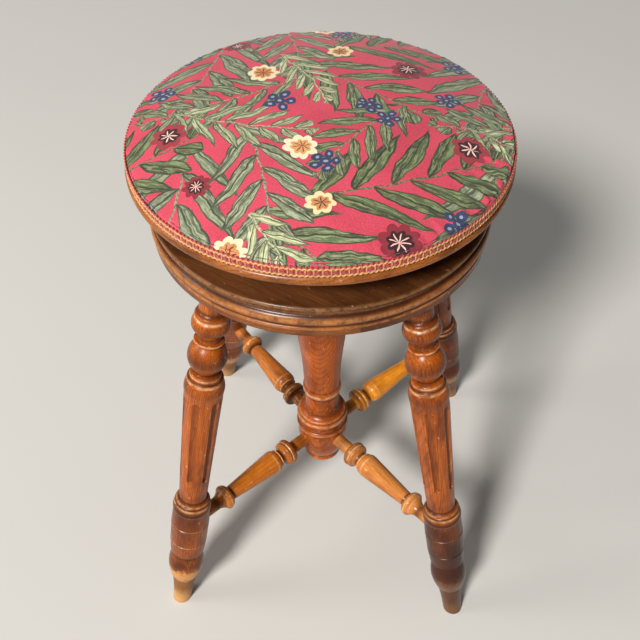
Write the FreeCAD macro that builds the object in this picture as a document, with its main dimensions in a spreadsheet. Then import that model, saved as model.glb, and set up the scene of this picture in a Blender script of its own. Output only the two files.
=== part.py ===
import FreeCAD, Part
import math
import os
import Sketcher

# A revolving piano stool: four splayed, turned and fluted legs under a round wooden platform,
# a turned centre column held by four turned stretchers, and a round upholstered seat that
# rises and falls on an iron screw. Millimetres, Z up, origin on the floor under the screw.
# The front is -Y and the right is +X.

doc = FreeCAD.newDocument("piano_stool")
sheet = doc.addObject("Spreadsheet::Sheet", "Sizes")

driving_dimensions = {
    # clearances
    "glue_gap": 0.05,
    "running_gap": 0.05,
    "soft_gap": 0.3,
    "bearing_gap": 0.3,
    # platform under the seat: a top board on three edge-glued planks
    "platform_underside": 470.0,
    "plank_thickness": 23.0,
    "top_board_thickness": 11.5,
    "top_board_setback": 1.2,
    "plank_radius": 160.8,
    "middle_plank_width": 94.0,
    "edge_bead_rise": 1.4,
    "bullnose_height": 10.0,
    "bullnose_rise": 1.6,
    "edge_groove_depth": 1.6,
    "brad_radius": 1.1,
    "brad_length": 16.0,
    "brad_bearing": -41.0,
    "brad_rise": 7.0,
    # where the legs stand
    "foot_circle_radius": 238.5,
    "leg_edge_setback": 29.8,
    "left_legs_half_angle": 48.5,
    "right_legs_half_angle": 44.0,
    "front_left_leg_turn": 30.0,
    "front_right_leg_turn": 10.0,
    "back_left_leg_turn": 22.0,
    "back_right_leg_turn": -14.0,
    "wood_above_leg_tenon": 5.0,
    "foot_trim": 4.0,
    # turned leg, along its own axis: foot, barrel, fluted shaft, ball and collar
    "foot_tip_radius": 10.9,
    "foot_cone_radius": 14.4,
    "foot_cone_length": 46.0,
    "foot_ball_radius": 20.2,
    "foot_ball_length": 44.3,
    "notch_radius": 17.6,
    "notch_width": 3.5,
    "barrel_radius": 21.3,
    "barrel_length": 83.7,
    "barrel_torus_length": 9.5,
    "barrel_ring_radius": 19.6,
    "barrel_ring_length": 9.0,
    "shaft_bottom_radius": 15.3,
    "shaft_top_radius": 20.0,
    "shoulder_radius": 20.5,
    "shoulder_length": 15.0,
    "shoulder_ring_radius": 18.3,
    "shoulder_ring_length": 5.2,
    "leg_neck_radius": 12.4,
    "leg_neck_length": 4.5,
    "leg_ball_radius": 19.8,
    "leg_ball_length": 33.0,
    "ball_ring_radius": 15.2,
    "ball_ring_length": 4.4,
    "upper_neck_radius": 11.2,
    "upper_neck_length": 8.4,
    "collar_radius": 18.8,
    "collar_length": 18.0,
    "collar_ring_radius": 16.4,
    "collar_ring_length": 6.0,
    "leg_top_radius": 12.8,
    "leg_top_length": 36.0,
    "scribe_depth": 0.7,
    "scribe_width": 0.8,
    # flutes in the leg shaft
    "flute_count": 6,
    "flute_top_radius": 5.2,
    "flute_bottom_radius": 3.2,
    "flute_depth": 2.7,
    "flute_top_margin": 4.3,
    "flute_bottom_margin": 34.5,
    # column
    "column_bottom": 77.0,
    "column_foot_radius": 22.3,
    "column_foot_height": 9.0,
    "hub_radius": 30.0,
    "hub_length": 74.0,
    "hub_ring_bulge": 1.3,
    "hub_ring_drop": 19.0,
    "hub_neck_radius": 20.3,
    "hub_neck_rise": 18.0,
    "column_bead_radius": 22.8,
    "column_bead_rise": 27.0,
    "column_bead_length": 13.0,
    "column_waist_radius": 20.9,
    "column_shaft_radius": 26.3,
    "column_shaft_rise": 85.0,
    "capital_start_radius": 35.0,
    "capital_drop": 72.0,
    "capital_radius": 46.0,
    "capital_bead_radius": 38.5,
    "capital_band": 24.0,
    "column_tenon_radius": 26.0,
    "column_bore_clearance": 8.8,
    # stretchers, measured out from the column's axis
    "stretcher_hub_drop": 38.0,
    "stretcher_rise": 13.0,
    "stretcher_neck_radius": 7.8,
    "stretcher_tenon_start": 15.0,
    "stretcher_tenon_in_leg": 13.0,
    "inner_bead_distance": 62.0,
    "inner_bead_radius": 15.6,
    "inner_bead_length": 15.0,
    "stretcher_gap_radius": 8.6,
    "body_start_gap": 14.0,
    "body_radius": 14.2,
    "body_shoulder_length": 8.0,
    "body_end_radius": 8.6,
    "outer_bead_setback": 50.0,
    "outer_bead_radius": 14.8,
    "outer_bead_length": 16.0,
    # iron screw and the fittings it turns in
    "thread_radius": 11.0,
    "thread_pitch": 6.0,
    "thread_depth": 1.9,
    "thread_flat": 1.6,
    "thread_root_width": 4.2,
    "screw_length": 193.0,
    "screw_plain_length": 12.0,
    "seat_flange_radius": 55.0,
    "seat_flange_thickness": 6.0,
    "seat_boss_radius": 20.0,
    "seat_boss_height": 5.0,
    "flange_screw_circle": 42.0,
    "fixing_screw_count": 4,
    "wood_screw_radius": 2.4,
    "wood_screw_head_radius": 4.8,
    "wood_screw_head_height": 2.6,
    "wood_screw_length": 15.0,
    "boss_pin_radius": 1.8,
    "stop_pin_radius": 2.5,
    "stop_pin_inset": 2.1,
    "stop_pin_rise": 6.0,
    "stop_washer_side_gap": 0.9,
    "stop_washer_thickness": 3.0,
    "nut_flange_radius": 45.0,
    "nut_flange_thickness": 5.0,
    "nut_bush_radius": 16.5,
    "nut_bush_length": 43.0,
    "nut_screw_circle": 34.0,
    # seat board
    "seat_rise_at_rest": 38.5,
    "seat_board_thickness": 19.0,
    "seat_rim_ledge": 2.8,
    "seat_rim_bulge": 2.8,
    "seat_rim_height": 9.2,
    "seat_board_side_radius": 169.8,
    # upholstery
    "cover_thickness": 1.5,
    "cover_turn_rise": 1.9,
    "cover_flare": 2.2,
    "cover_flare_height": 1.2,
    "cover_roll_height": 3.4,
    "cover_roll_width": 12.0,
    "crown_height": 35.5,
    "braid_thickness": 1.4,
    "braid_top_gap": 0.1,
    "tack_count": 24,
    "tack_shank_radius": 0.9,
    "tack_shank_length": 12.0,
    "tack_head_radius": 3.0,
    "tack_head_thickness": 0.5,
    "tack_height": 4.3,
}
for row, (name, value) in enumerate(driving_dimensions.items(), start=1):
    sheet.set(f"A{row}", name)
    sheet.set(f"B{row}", str(value))
    sheet.setAlias(f"B{row}", name)
doc.recompute()


class Size:
    """A length worked out from the sheet: its value, and the expression that gives it."""

    def __init__(self, value, text):
        self.value = value
        self.text = text

    def __add__(self, other):
        other = as_size(other)
        return Size(self.value + other.value, f"({self.text} + {other.text})")

    def __sub__(self, other):
        other = as_size(other)
        return Size(self.value - other.value, f"({self.text} - {other.text})")

    def __mul__(self, factor):
        factor = as_size(factor)
        return Size(self.value * factor.value, f"({self.text} * {factor.text})")

    def __truediv__(self, divisor):
        divisor = as_size(divisor)
        return Size(self.value / divisor.value, f"({self.text} / {divisor.text})")


def as_size(value):
    return value if isinstance(value, Size) else Size(float(value), repr(float(value)))


def size(name):
    """The sheet's cell of that name, as a Size."""
    return Size(float(driving_dimensions[name]), f"Sizes.{name}")


def distance(across, up):
    """The slanting length whose two legs are across and up."""
    return Size(math.hypot(across.value, up.value), f"sqrt({across.text}^2 + {up.text}^2)")


zero = as_size(0)


def line(radius, station):
    return (radius, station)


def arc(middle_radius, middle_station, radius, station):
    return (radius, station, middle_radius, middle_station)


def crown(radius, station):
    """A step along an arc centred on the turning axis, so that it meets the axis squarely."""
    return (radius, station, None)


def pin_point(sketch, geometry, position, radius, station):
    """Ties one point of a sketch to the sheet by its distances from the sketch's origin."""
    if radius.value == 0:
        sketch.addConstraint(Sketcher.Constraint("PointOnObject", geometry, position, -2))
    else:
        index = sketch.addConstraint(
            Sketcher.Constraint("DistanceX", -1, 1, geometry, position, radius.value))
        sketch.setExpression(f"Constraints[{index}]", radius.text)
    if station.value == 0:
        sketch.addConstraint(Sketcher.Constraint("PointOnObject", geometry, position, -1))
    else:
        index = sketch.addConstraint(
            Sketcher.Constraint("DistanceY", -1, 1, geometry, position, station.value))
        sketch.setExpression(f"Constraints[{index}]", station.text)


def vector(radius, station):
    return FreeCAD.Vector(radius.value, station.value, 0)


def crown_middle(start, end):
    """A point half way out along the arc from start to end that is centred on the axis."""
    outer, top = (start, end) if end.x == 0 else (end, start)
    rise = top.y - outer.y
    bend = (outer.x ** 2 + rise ** 2) / (2 * rise)
    half = outer.x / 2
    return FreeCAD.Vector(half, top.y - bend + math.sqrt(bend ** 2 - half ** 2), 0)


def draw_outline(sketch, steps):
    """A closed outline of lines and three-point arcs through the given radii and stations."""
    ends = []
    for index, step in enumerate(steps):
        before = steps[index - 1]
        start = vector(before[0], before[1])
        end = vector(step[0], step[1])
        if len(step) == 4:
            curve = Part.Arc(start, vector(step[2], step[3]), end)
        elif len(step) == 3:
            curve = Part.Arc(start, crown_middle(start, end), end)
        else:
            curve = Part.LineSegment(start, end)
        geometry = sketch.addGeometry(curve, False)
        first = 1
        if sketch.getPoint(geometry, 1).distanceToPoint(start) > 1e-4:
            first = 2
        ends.append((geometry, first, 3 - first))
    for index, step in enumerate(steps):
        geometry, first, last = ends[index]
        following = ends[(index + 1) % len(steps)]
        sketch.addConstraint(
            Sketcher.Constraint("Coincident", geometry, last, following[0], following[1]))
        pin_point(sketch, geometry, last, step[0], step[1])
        if len(step) == 4:
            through = sketch.addGeometry(Part.Point(vector(step[2], step[3])), True)
            pin_point(sketch, through, 1, step[2], step[3])
            sketch.addConstraint(Sketcher.Constraint("PointOnObject", through, 1, geometry))
        if len(step) == 3:
            sketch.addConstraint(Sketcher.Constraint("PointOnObject", geometry, 3, -2))


def origin_feature(body, role):
    return [item for item in body.Origin.OriginFeatures if item.Role == role][0]


def new_sketch(body, name, plane):
    sketch = body.newObject("Sketcher::SketchObject", name)
    sketch.AttachmentSupport = [(origin_feature(body, plane), "")]
    sketch.MapMode = "FlatFace"
    return sketch


def turned(name, steps):
    """A body turned about its own Z axis from an outline of radii and stations."""
    body = doc.addObject("PartDesign::Body", name)
    sketch = new_sketch(body, name + "_outline", "XZ_Plane")
    draw_outline(sketch, steps)
    revolution = body.newObject("PartDesign::Revolution", name + "_turning")
    revolution.Profile = sketch
    revolution.ReferenceAxis = (sketch, ["V_Axis"])
    revolution.Angle = 360
    doc.recompute()
    return body


def rod(name, radius, length, placement):
    cylinder = doc.addObject("Part::Cylinder", name)
    cylinder.setExpression("Radius", radius.text)
    cylinder.setExpression("Height", length.text)
    cylinder.Placement = placement
    return cylinder


def joined(name, shapes):
    if len(shapes) == 1:
        return shapes[0]
    fusion = doc.addObject("Part::MultiFuse", name)
    fusion.Shapes = shapes
    return fusion


def cut(name, base, tools):
    result = doc.addObject("Part::Cut", name)
    result.Base = base
    result.Tool = joined(name + "_tools", tools)
    return result


def place(x=0, y=0, z=0, rotation=None):
    return FreeCAD.Placement(FreeCAD.Vector(x, y, z), rotation or FreeCAD.Rotation())


def turn(axis, degrees):
    return FreeCAD.Rotation(FreeCAD.Vector(*axis), degrees)


def around(bearing):
    return turn((0, 0, 1), bearing)


nodes = {}

# Heights of the layers above one another.
underside = size("platform_underside")
plank_top = underside + size("plank_thickness")
platform_top = plank_top + size("top_board_thickness")
glue_gap = size("glue_gap")
running_gap = size("running_gap")
soft_gap = size("soft_gap")
bearing_gap = size("bearing_gap")


# Legs. Each is turned in one piece, fluted by a round-nosed cutter that follows the taper,
# cut level at the foot, and glued by its straight neck into the underside of the platform.
plank_radius = size("plank_radius")
splay_run = size("foot_circle_radius") - (plank_radius - size("leg_edge_setback"))
axis_stretch = distance(splay_run, underside) / underside
leg_origin = size("foot_trim")
leg_underside = underside * axis_stretch + leg_origin
leg_length = (plank_top - size("wood_above_leg_tenon")) * axis_stretch + leg_origin
splay_angle = math.degrees(math.atan2(splay_run.value, underside.value))

foot_ball_bottom = leg_origin + size("foot_cone_length")
foot_ball_top = foot_ball_bottom + size("foot_ball_length")
barrel_bottom = foot_ball_top + size("notch_width")
barrel_top = barrel_bottom + size("barrel_length")
shaft_bottom = barrel_top + size("barrel_ring_length")
collar_ring_top = leg_underside - size("leg_top_length")
collar_top = collar_ring_top - size("collar_ring_length")
collar_bottom = collar_top - size("collar_length")
ball_ring_top = collar_bottom - size("upper_neck_length")
ball_top = ball_ring_top - size("ball_ring_length")
ball_bottom = ball_top - size("leg_ball_length")
neck_bottom = ball_bottom - size("leg_neck_length")
shoulder_ring_top = neck_bottom
shoulder_top = shoulder_ring_top - size("shoulder_ring_length") * 2
shaft_top = shoulder_top - size("shoulder_length")

neck_radius = size("leg_neck_radius")
shoulder_ring = size("shoulder_ring_radius")
shoulder_ring_length = size("shoulder_ring_length")
barrel = size("barrel_radius")
barrel_torus_bottom = barrel_top - size("barrel_torus_length")
barrel_ring = size("barrel_ring_radius")
barrel_ring_length = size("barrel_ring_length")
scribe_depth = size("scribe_depth")
scribe_width = size("scribe_width")


def scribed_line(radius, station):
    """A fine V cut into the barrel by the turner's point."""
    return [
        line(radius, station - scribe_width),
        line(radius - scribe_depth, station),
        line(radius, station + scribe_width),
    ]


leg_outline = [
    line(zero, zero),
    line(size("foot_tip_radius"), zero),
    arc(size("foot_tip_radius") + 1.1, leg_origin + size("foot_cone_length") * 0.55,
        size("foot_cone_radius"), foot_ball_bottom),
    arc(size("foot_ball_radius"), foot_ball_bottom + size("foot_ball_length") * 0.52,
        size("notch_radius"), foot_ball_top),
    line(size("notch_radius"), barrel_bottom),
    line(size("notch_radius") + 1.9, barrel_bottom + 3.5),
    *scribed_line(barrel - 0.5, barrel_bottom + size("barrel_length") * 0.27),
    *scribed_line(barrel, barrel_bottom + size("barrel_length") * 0.62),
    line(barrel - 1, barrel_torus_bottom),
    arc(barrel - 0.2, barrel_torus_bottom + size("barrel_torus_length") * 0.5,
        barrel - 1.5, barrel_top),
    line(barrel_ring - 1.5, barrel_top + 0.6),
    arc(barrel_ring, barrel_top + barrel_ring_length * 0.34,
        barrel_ring - 2, barrel_top + barrel_ring_length * 0.6),
    line(barrel_ring - 3.2, barrel_top + barrel_ring_length * 0.65),
    arc(barrel_ring - 2.4, barrel_top + barrel_ring_length * 0.82,
        size("shaft_bottom_radius") + 0.5, shaft_bottom - 0.4),
    line(size("shaft_bottom_radius"), shaft_bottom),
    line(size("shaft_top_radius"), shaft_top),
    arc(size("shoulder_radius"), shaft_top + size("shoulder_length") * 0.52,
        size("shoulder_radius") - 2.2, shoulder_top),
    line(shoulder_ring - 1.5, shoulder_top + 0.6),
    arc(shoulder_ring, shoulder_top + shoulder_ring_length * 0.55,
        shoulder_ring - 2.2, shoulder_top + shoulder_ring_length),
    line(shoulder_ring - 3.2, shoulder_top + shoulder_ring_length + 0.4),
    arc(shoulder_ring - 2.3, shoulder_top + shoulder_ring_length * 1.5,
        shoulder_ring - 4.0, shoulder_ring_top - 0.4),
    line(neck_radius + 0.3, shoulder_ring_top),
    line(neck_radius, neck_bottom + size("leg_neck_length") * 0.4),
    line(neck_radius + 0.8, ball_bottom),
    arc(size("leg_ball_radius"), ball_bottom + size("leg_ball_length") * 0.5,
        neck_radius, ball_top),
    line(size("ball_ring_radius") - 0.7, ball_top + 0.6),
    arc(size("ball_ring_radius"), ball_top + size("ball_ring_length") * 0.5,
        size("ball_ring_radius") - 0.9, ball_ring_top - 0.5),
    line(size("upper_neck_radius") + 0.6, ball_ring_top),
    line(size("upper_neck_radius"), ball_ring_top + size("upper_neck_length") * 0.5),
    line(size("upper_neck_radius") + 1.4, collar_bottom),
    arc(size("collar_radius"), collar_bottom + size("collar_length") * 0.55,
        size("collar_ring_radius") - 0.8, collar_top),
    arc(size("collar_ring_radius"), collar_top + size("collar_ring_length") * 0.5,
        size("leg_top_radius") + 1, collar_ring_top),
    line(size("leg_top_radius"), collar_ring_top + 1.5),
    line(size("leg_top_radius"), leg_length),
    line(zero, leg_length),
]

flute_bottom = shaft_bottom + size("flute_bottom_margin")
flute_top = shaft_top - size("flute_top_margin")
shaft_taper = (size("shaft_top_radius") - size("shaft_bottom_radius")) / (shaft_top - shaft_bottom)


def flute_axis_radius(station, cutter):
    """How far out the cutter's middle runs so that it bites by the flute's depth."""
    shaft_radius = size("shaft_bottom_radius") + shaft_taper * (station - shaft_bottom)
    return shaft_radius + cutter - size("flute_depth")


def draw_cutter(sketch):
    """Half of a round-nosed, slightly tapered cutter: two end arcs joined by a line."""
    low_station = flute_bottom + size("flute_bottom_radius")
    high_station = flute_top - size("flute_top_radius")
    low_radius = flute_axis_radius(low_station, size("flute_bottom_radius"))
    high_radius = flute_axis_radius(high_station, size("flute_top_radius"))
    low = vector(low_radius, low_station)
    high = vector(high_radius, high_station)
    along = (high - low).normalize()
    spread = size("flute_top_radius").value - size("flute_bottom_radius").value
    lean = spread / (high - low).Length
    side = FreeCAD.Vector(along.y, -along.x, 0) * math.sqrt(1 - lean * lean) - along * lean
    low_cutter = size("flute_bottom_radius").value
    high_cutter = size("flute_top_radius").value
    low_tip = low - along * low_cutter
    high_tip = high + along * high_cutter
    low_side = low + side * low_cutter
    high_side = high + side * high_cutter
    low_middle = low + (side - along).normalize() * low_cutter
    high_middle = high + (side + along).normalize() * high_cutter
    spine = sketch.addGeometry(Part.LineSegment(low_tip, high_tip), True)
    sketch.addGeometry(Part.LineSegment(low_tip, high_tip), False)
    low_arc = sketch.addGeometry(Part.Arc(low_tip, low_middle, low_side), False)
    sketch.addGeometry(Part.LineSegment(low_side, high_side), False)
    high_arc = sketch.addGeometry(Part.Arc(high_side, high_middle, high_tip), False)
    for end_arc, radius, station in (
            (low_arc, low_radius, low_station), (high_arc, high_radius, high_station)):
        pin_point(sketch, end_arc, 3, radius, station)
        sketch.addConstraint(Sketcher.Constraint("PointOnObject", end_arc, 3, spine))


def fluted_leg(name):
    """The turned leg with its ring of flutes."""
    body = turned(name, leg_outline)
    sketch = new_sketch(body, name + "_flute_outline", "XZ_Plane")
    draw_cutter(sketch)
    before = body.Shape.Volume
    groove = body.newObject("PartDesign::Groove", name + "_flute")
    groove.Profile = sketch
    groove.ReferenceAxis = (sketch, ["Axis0"])
    groove.Angle = 360
    doc.recompute()
    flutes = body.newObject("PartDesign::PolarPattern", name + "_flutes")
    flutes.Originals = [groove]
    flutes.Axis = (origin_feature(body, "Z_Axis"), [""])
    flutes.Angle = 360
    flutes.setExpression("Occurrences", size("flute_count").text)
    body.Tip = flutes
    doc.recompute()
    print(name, "flutes cut", round(before - body.Shape.Volume), "mm3")
    return body


left_angle = size("left_legs_half_angle").value
right_angle = size("right_legs_half_angle").value
leg_bearings = {
    "front_left": 180 + left_angle,
    "front_right": -right_angle,
    "back_left": 180 - left_angle,
    "back_right": right_angle,
}


def leg_placement(bearing, extra_turn):
    """Stands a leg at its bearing, leaning inwards, turned a little about its own axis."""
    rotation = around(bearing) * turn((0, 1, 0), -splay_angle)
    foot = around(bearing) * FreeCAD.Vector(size("foot_circle_radius").value, 0, 0)
    origin = foot - rotation * FreeCAD.Vector(0, 0, leg_origin.value)
    return FreeCAD.Placement(origin, rotation * around(extra_turn))


# Stretchers run from the hub out to the legs, rising a little, with round necks that are
# glued straight into the column and the legs.
foot_top = size("column_bottom") + size("column_foot_height")
hub_top = foot_top + size("hub_length")
stretcher_hub_height = hub_top - size("stretcher_hub_drop")
stretcher_rise = size("stretcher_rise")
stretcher_leg_height = stretcher_hub_height + stretcher_rise
leg_axis_distance = size("foot_circle_radius") - splay_run / underside * stretcher_leg_height
stretcher_span = distance(leg_axis_distance, stretcher_rise)
rise_angle = math.degrees(math.atan2(stretcher_rise.value, leg_axis_distance.value))
stretcher_neck = size("stretcher_neck_radius")
stretcher_end = stretcher_span - size("stretcher_tenon_in_leg")
inner_bead = size("inner_bead_distance")
inner_bead_half = size("inner_bead_length") / 2
bead_radius = size("inner_bead_radius")
body_start = inner_bead + size("body_start_gap")
outer_bead = stretcher_span - size("outer_bead_setback")
outer_bead_half = size("outer_bead_length") / 2
gap_radius = size("stretcher_gap_radius")

stretcher_outline = [
    line(zero, size("stretcher_tenon_start")),
    line(stretcher_neck, size("stretcher_tenon_start")),
    line(stretcher_neck, inner_bead - inner_bead_half - 4),
    arc(stretcher_neck + 0.9, inner_bead - inner_bead_half - 1.2,
        stretcher_neck + 3, inner_bead - inner_bead_half),
    arc(bead_radius, inner_bead - 2.4, bead_radius - 1.6, inner_bead),
    arc(bead_radius - 0.7, inner_bead + 2.2, bead_radius - 3.2, inner_bead + 4.4),
    arc(gap_radius + 1, inner_bead + 6.5, gap_radius, inner_bead + inner_bead_half + 1.6),
    line(gap_radius, body_start - 2.6),
    line(gap_radius + 2.4, body_start - 2),
    arc(gap_radius + 3.1, body_start - 1, gap_radius + 2.6, body_start),
    arc(size("body_radius") - 0.9, body_start + size("body_shoulder_length") * 0.4,
        size("body_radius"), body_start + size("body_shoulder_length")),
    line(size("body_end_radius"), outer_bead - outer_bead_half - 2),
    line(size("body_end_radius") - 0.8, outer_bead - outer_bead_half),
    arc(size("outer_bead_radius") - 2.4, outer_bead - outer_bead_half * 0.75,
        size("outer_bead_radius"), outer_bead - outer_bead_half * 0.2),
    arc(size("outer_bead_radius") - 0.8, outer_bead + outer_bead_half * 0.2,
        size("outer_bead_radius") - 3, outer_bead + outer_bead_half * 0.4),
    line(size("stretcher_neck_radius") + 1, outer_bead + outer_bead_half),
    line(stretcher_neck, outer_bead + outer_bead_half + 3),
    line(stretcher_neck, stretcher_end),
    line(zero, stretcher_end),
]


def stretcher_placement(bearing):
    rotation = around(bearing) * turn((0, 1, 0), 90 - rise_angle)
    return place(z=stretcher_hub_height.value, rotation=rotation)


def mortise(name, bearing):
    """The round hole along a stretcher's axis that its neck is glued into."""
    hole = stretcher_placement(bearing)
    start = size("stretcher_tenon_start") - glue_gap
    hole.Base = hole.multVec(FreeCAD.Vector(0, 0, start.value))
    return rod(name, stretcher_neck + glue_gap, stretcher_end + glue_gap - start, hole)


floor_cutter = doc.addObject("Part::Box", "floor_cutter")
floor_reach = size("foot_circle_radius") * 4
floor_cutter.setExpression("Length", floor_reach.text)
floor_cutter.setExpression("Width", floor_reach.text)
floor_cutter.setExpression("Height", (size("foot_trim") * 4).text)
floor_cutter.Placement = place(-floor_reach.value / 2, -floor_reach.value / 2,
                               -size("foot_trim").value * 4)

leg_sockets = {}
mortises = {}
for corner, bearing in leg_bearings.items():
    leg = fluted_leg(f"leg_{corner}_turned")
    leg.Placement = leg_placement(bearing, size(f"{corner}_leg_turn").value)
    mortises[corner] = mortise(f"mortise_{corner}", bearing)
    nodes[f"leg_{corner}"] = cut(f"leg_{corner}", leg, [floor_cutter, mortises[corner]])
    stretcher = turned(f"stretcher_{corner}", stretcher_outline)
    stretcher.Placement = stretcher_placement(bearing)
    nodes[f"stretcher_{corner}"] = stretcher
    socket = leg_placement(bearing, 0)
    leg_sockets[corner] = rod(f"socket_{corner}", size("leg_top_radius") + glue_gap,
                              leg_length + glue_gap, socket)


# Column: one turning with a hub for the stretchers, a bead, a flaring shaft and a moulded
# capital under the platform. Its tenon fills the middle plank and it is bored for the screw.
hub = size("hub_radius")
hub_ring = hub_top - size("hub_ring_drop")
hub_neck_height = hub_top + size("hub_neck_rise")
bead_height = hub_neck_height + size("column_bead_rise")
bead_low = bead_height - size("column_bead_length") / 2
bead_high = bead_height + size("column_bead_length") / 2
shaft_height = bead_height + size("column_shaft_rise")
shaft_radius = size("column_shaft_radius")
capital_low = underside - size("capital_drop")
capital_start = size("capital_start_radius")
band_low = underside - size("capital_band")

column_outline = [
    line(zero, size("column_bottom")),
    line(size("column_foot_radius") - 4.5, size("column_bottom")),
    arc(size("column_foot_radius") - 0.8, size("column_bottom") + 1.6,
        size("column_foot_radius"), size("column_bottom") + size("column_foot_height") * 0.6),
    line(size("column_foot_radius") - 1, foot_top),
    arc(hub - 3.2, foot_top + 12, hub - 0.6, foot_top + 28),
    line(hub, hub_ring - 10),
    line(hub - 0.8, hub_ring - 3.5),
    arc(hub + size("hub_ring_bulge"), hub_ring, hub - 0.8, hub_ring + 3.5),
    line(hub - 0.2, hub_ring + 10),
    line(hub - 0.4, hub_top - 5.5),
    arc(hub + 0.5, hub_top - 3, hub - 1.2, hub_top - 0.5),
    line(hub - 2.8, hub_top),
    arc(hub - 1.7, hub_top + 2.5, hub - 3.8, hub_top + 5),
    arc(size("hub_neck_radius") + 1.2, hub_top + 9,
        size("hub_neck_radius"), hub_neck_height),
    line(size("hub_neck_radius") + 0.3, bead_low),
    arc(size("column_bead_radius"), bead_height, size("column_waist_radius"), bead_high),
    arc(size("column_waist_radius") + 1.9, bead_high + (shaft_height - bead_high) * 0.55,
        shaft_radius, shaft_height),
    arc(shaft_radius + (capital_start - shaft_radius) * 0.4,
        shaft_height + (capital_low - shaft_height) * 0.5, capital_start, capital_low),
    arc(size("capital_bead_radius"), capital_low + 5, capital_start + 0.6, capital_low + 10),
    arc(capital_start + 3, capital_low + 28, size("capital_radius") - 2, band_low - 4),
    line(size("capital_radius") - 2, band_low),
    arc(size("capital_radius") + 1, band_low + size("capital_band") * 0.5,
        size("capital_radius") - 1, underside),
    line(size("column_tenon_radius"), underside),
    line(size("column_tenon_radius"), plank_top),
    line(zero, plank_top),
]
column = turned("column_turned", column_outline)
bush_bottom = platform_top - size("nut_bush_length")
bush_radius = size("nut_bush_radius")
board_bottom = platform_top + size("seat_rise_at_rest")
flange_bottom = board_bottom - size("seat_flange_thickness")
boss_bottom = flange_bottom - size("seat_boss_height")
screw_bottom = board_bottom - size("screw_length")
fall = boss_bottom - platform_top - bearing_gap
bore_bottom = screw_bottom - fall - size("column_bore_clearance")
screw_bore = rod("screw_bore", bush_radius, platform_top - bore_bottom, place(z=bore_bottom.value))
bush_bore = rod("bush_bore", bush_radius + glue_gap, size("nut_bush_length") + glue_gap,
                place(z=(bush_bottom - glue_gap).value))
nodes["column"] = cut("column", column, [screw_bore, bush_bore, *mortises.values()])


# Platform. The planks lie side by side from front to back and share one moulded edge: a
# bullnose above a groove and a lower band. The top board lies across them with a beaded edge.
groove_radius = plank_radius - size("edge_groove_depth")
bullnose_low = plank_top - size("bullnose_height")
plank_outline = [
    line(zero, underside),
    line(plank_radius - 1.5, underside),
    arc(plank_radius - 0.4, underside + 0.5, plank_radius, underside + 2),
    line(plank_radius, bullnose_low - 4),
    arc(groove_radius, bullnose_low - 2, plank_radius - 0.4, bullnose_low),
    arc(plank_radius + size("bullnose_rise"), plank_top - size("bullnose_height") * 0.42,
        plank_radius - 1.5, plank_top),
    line(zero, plank_top),
]
planks = turned("planks_turned", plank_outline)
middle_half = size("middle_plank_width") / 2
plank_box_radius = plank_radius + size("bullnose_rise")
outer_width = plank_box_radius - middle_half
plank_spans = {
    "platform_plank_left": (plank_box_radius * -1, outer_width),
    "platform_plank_middle": (middle_half * -1, size("middle_plank_width")),
    "platform_plank_right": (middle_half, outer_width),
}
fixing_screw_count = driving_dimensions["fixing_screw_count"]
fixing_angles = [360 * index / fixing_screw_count + 45 for index in range(fixing_screw_count)]
screw_hole_radius = size("wood_screw_radius") + glue_gap


def ring_of_rods(name, count_angles, circle, radius, length, bottom):
    """Upright holes or shanks evenly set on a circle."""
    rods = []
    for index, angle in enumerate(count_angles):
        spot = around(angle) * FreeCAD.Vector(circle.value, 0, 0)
        rods.append(rod(f"{name}_{index + 1}", radius, length, place(spot.x, spot.y, bottom.value)))
    return rods


nut_recess = rod("nut_recess", size("nut_flange_radius") + glue_gap,
                 size("nut_flange_thickness") * 2,
                 place(z=(platform_top - size("nut_flange_thickness")).value))
nut_screw_reach = size("wood_screw_length") + size("nut_flange_thickness")
nut_screw_holes = ring_of_rods("nut_screw_hole", fixing_angles, size("nut_screw_circle"),
                               screw_hole_radius, nut_screw_reach + glue_gap,
                               platform_top - nut_screw_reach - glue_gap)
column_socket = rod("column_socket", size("column_tenon_radius") + glue_gap,
                    size("plank_thickness") * 2, place(z=(underside - glue_gap).value))
brad_rotation = around(size("brad_bearing").value) * turn((0, 1, 0), 90)
brad_start = plank_radius - size("brad_length") + 0.4
brad_place = place(rotation=brad_rotation)
brad_place.Base = brad_rotation * FreeCAD.Vector(0, 0, brad_start.value)
brad_place.Base.z = (underside + size("brad_rise")).value
brad_hole = rod("brad_hole", size("brad_radius") + glue_gap, size("brad_length") * 1.2, brad_place)
brad = rod("edge_brad", size("brad_radius"), size("brad_length"), brad_place)
nodes["edge_brad"] = brad

plank_holes = {
    "platform_plank_left": [leg_sockets["front_left"], leg_sockets["back_left"]],
    "platform_plank_middle": [column_socket, *nut_screw_holes],
    "platform_plank_right": [leg_sockets["front_right"], leg_sockets["back_right"], brad_hole],
}
for name, (left_side, width) in plank_spans.items():
    box = doc.addObject("Part::Box", name + "_width")
    box.setExpression("Length", (width - glue_gap).text)
    box.setExpression("Width", (plank_box_radius * 2).text)
    box.setExpression("Height", size("plank_thickness").text)
    box.Placement = place((left_side + glue_gap / 2).value, -plank_box_radius.value,
                          underside.value)
    plank = doc.addObject("Part::Common", name + "_blank")
    plank.Base = planks
    plank.Tool = box
    nodes[name] = cut(name, plank, plank_holes[name])

top_radius = plank_radius - size("top_board_setback")
top_outline = [
    line(zero, plank_top),
    line(top_radius - 0.6, plank_top),
    arc(top_radius - 2, plank_top + 2.2, top_radius - 1.2, platform_top - 6),
    line(top_radius - 0.4, platform_top - 5.4),
    arc(top_radius + size("edge_bead_rise"), platform_top - 2.7, top_radius - 1, platform_top),
    line(zero, platform_top),
]
top_board = turned("platform_top_turned", top_outline)
nodes["platform_top"] = cut("platform_top", top_board,
                            [nut_recess, bush_bore, *nut_screw_holes])


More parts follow.
